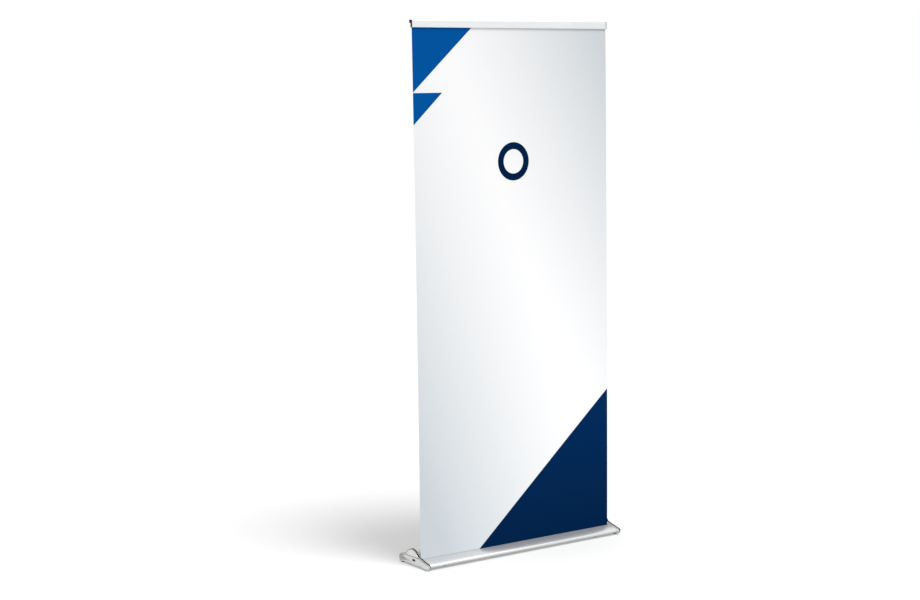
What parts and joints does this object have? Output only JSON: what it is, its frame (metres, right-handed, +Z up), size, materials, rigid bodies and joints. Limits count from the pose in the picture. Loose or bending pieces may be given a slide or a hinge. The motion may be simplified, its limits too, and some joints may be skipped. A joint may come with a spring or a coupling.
{
  "type": "roll-up banner stand",
  "caption": "Free-standing roll-up banner: printed film drawn from a spring roller in a low wide cassette with plated end caps, held by a clamp rail on a telescopic pole.",
  "frame": {"origin": "on the floor, under the centre of the object's box", "axes": "X along the width, +Y towards the back (the pole side), +Z up"},
  "size_m": [0.937, 0.2093, 2.0573],
  "materials": {
    "extrusion": "satin anodised extrusion",
    "rail": "satin anodised extrusion",
    "pole": "satin anodised tube",
    "plated_cap": "satin to bright plated moulding",
    "inlay": "matt satin plate",
    "black_moulding": "fine grained moulding",
    "grey_moulding": "moulded, matt",
    "rubber": "soft black rubber",
    "steel": "zinc plated",
    "spring_steel": "oiled spring steel",
    "printed_film": "printed polyester film, matt, two plain blue colour blocks",
    "film_back": "grey light-stopping back of the film",
    "felt": "black felt strip"
  },
  "bodies": {
    "root": {"cassette_extrusion": "extrusion", "slot_guide_strip": "black_moulding", "slot_wiper_strip": "felt", "graphic_run_in": "film_back", "end_cap_left": "plated_cap", "end_cap_right": "plated_cap", "dome_inlay_left": "inlay", "dome_inlay_right": "inlay", "end_cap_liner_left": "black_moulding", "end_cap_liner_right": "black_moulding", "end_cap_inner_left": "plated_cap", "end_cap_inner_right": "plated_cap", "cap_screws": "steel", "cap_foot_pads": "rubber", "spring_anchor": "steel", "spring_rod": "steel", "torsion_spring": "spring_steel", "roller_bush": "black_moulding", "pole_socket": "black_moulding", "pole_lower_tube": "pole", "pole_foot_plug": "black_moulding", "clamp_collar_lower": "black_moulding", "clamp_bolt_lower": "steel", "cam_pin_lower": "steel", "foot_inserts": "steel"},
    "roller": {"roller_tube": "pole", "graphic_wrap": "film_back", "roller_plug_left": "grey_moulding", "roller_plug_right": "grey_moulding", "roller_idle_pin": "steel", "spring_hub": "grey_moulding"},
    "lock_button": {"lock_button": "black_moulding"},
    "pole_middle": {"pole_middle_tube": "pole", "pole_middle_guide": "grey_moulding", "clamp_collar_upper": "black_moulding", "clamp_bolt_upper": "steel", "cam_pin_upper": "steel"},
    "pole_upper": {"pole_upper_tube": "pole", "pole_upper_guide": "grey_moulding", "pole_head": "black_moulding"},
    "cam_lever_lower": {"cam_lever_lower": "grey_moulding"},
    "cam_lever_upper": {"cam_lever_upper": "grey_moulding"},
    "rail": {"rail_profile": "rail", "jaw_hinge_rod": "steel", "rail_plug_left": "black_moulding", "rail_plug_right": "black_moulding", "gripper_strip": "rubber", "graphic_panel": "printed_film"},
    "rail_jaw": {"rail_front_jaw": "rail"},
    "foot_stud_front_left": {"foot_stud_front_left": "steel"},
    "foot_pad_front_left": {"foot_pad_front_left": "rubber"},
    "foot_stud_front_right": {"foot_stud_front_right": "steel"},
    "foot_pad_front_right": {"foot_pad_front_right": "rubber"},
    "foot_stud_rear_left": {"foot_stud_rear_left": "steel"},
    "foot_pad_rear_left": {"foot_pad_rear_left": "rubber"},
    "foot_stud_rear_right": {"foot_stud_rear_right": "steel"},
    "foot_pad_rear_right": {"foot_pad_rear_right": "rubber"}
  },
  "joints": [
    {"name": "pole_middle_slide", "type": "slide", "parent": "root", "child": "pole_middle", "axis": [0, -0.0344, 0.9994], "range_m": [-0.6, 0], "deforming": ["graphic_panel"]},
    {"name": "pole_upper_slide", "type": "slide", "parent": "pole_middle", "child": "pole_upper", "axis": [0, -0.0344, 0.9994], "range_m": [-0.6, 0], "deforming": ["graphic_panel"]},
    {"name": "roller_spin", "type": "hinge", "parent": "root", "child": "roller", "pos_m": [0, 0.0085, 0.035], "axis": [1, 0, 0], "continuous": true},
    {"name": "cam_lever_lower_turn", "type": "hinge", "parent": "root", "child": "cam_lever_lower", "pos_m": [0.0152, 0.05201, 0.73801], "axis": [0, -0.0344, 0.9994], "range_deg": [0, 100]},
    {"name": "cam_lever_upper_turn", "type": "hinge", "parent": "pole_middle", "child": "cam_lever_upper", "pos_m": [0.0152, 0.02798, 1.38997], "axis": [0, -0.0344, 0.9994], "range_deg": [0, 100]},
    {"name": "rail_unhook", "type": "slide", "parent": "pole_upper", "child": "rail", "axis": [0, -0.0344, 0.9994], "range_m": [0, 0.015], "deforming": ["graphic_panel"]},
    {"name": "rail_jaw_turn", "type": "hinge", "parent": "rail", "child": "rail_jaw", "pos_m": [0, -0.0318, 2.0549], "axis": [-1, 0, 0], "range_deg": [0, 40]},
    {"name": "lock_button_push", "type": "slide", "parent": "root", "child": "lock_button", "axis": [1, 0, 0], "range_m": [0, 0.003]},
    {"name": "foot_front_left_lift", "type": "slide", "parent": "root", "child": "foot_stud_front_left", "axis": [0, 0, 1], "range_m": [-0.005, 0]},
    {"name": "foot_front_left_turn", "type": "hinge", "parent": "foot_stud_front_left", "child": "foot_pad_front_left", "pos_m": [-0.368, -0.0575, 0.003], "axis": [0, 0, 1], "range_deg": [-1800, 0]},
    {"name": "foot_front_right_lift", "type": "slide", "parent": "root", "child": "foot_stud_front_right", "axis": [0, 0, 1], "range_m": [-0.005, 0]},
    {"name": "foot_front_right_turn", "type": "hinge", "parent": "foot_stud_front_right", "child": "foot_pad_front_right", "pos_m": [0.368, -0.0575, 0.003], "axis": [0, 0, 1], "range_deg": [-1800, 0]},
    {"name": "foot_rear_left_lift", "type": "slide", "parent": "root", "child": "foot_stud_rear_left", "axis": [0, 0, 1], "range_m": [-0.005, 0]},
    {"name": "foot_rear_left_turn", "type": "hinge", "parent": "foot_stud_rear_left", "child": "foot_pad_rear_left", "pos_m": [-0.368, 0.0705, 0.003], "axis": [0, 0, 1], "range_deg": [-1800, 0]},
    {"name": "foot_rear_right_lift", "type": "slide", "parent": "root", "child": "foot_stud_rear_right", "axis": [0, 0, 1], "range_m": [-0.005, 0]},
    {"name": "foot_rear_right_turn", "type": "hinge", "parent": "foot_stud_rear_right", "child": "foot_pad_rear_right", "pos_m": [0.368, 0.0705, 0.003], "axis": [0, 0, 1], "range_deg": [-1800, 0]}
  ],
  "couplings": [
    {"joint": "pole_upper_slide", "follows": "pole_middle_slide", "ratio": 1},
    {"joint": "roller_spin", "follows": "pole_middle_slide", "rad_per_m": -119.05},
    {"joint": "foot_front_left_turn", "follows": "foot_front_left_lift", "rad_per_m": 6283.2},
    {"joint": "foot_front_right_turn", "follows": "foot_front_right_lift", "rad_per_m": 6283.2},
    {"joint": "foot_rear_left_turn", "follows": "foot_rear_left_lift", "rad_per_m": 6283.2},
    {"joint": "foot_rear_right_turn", "follows": "foot_rear_right_lift", "rad_per_m": 6283.2}
  ]
}
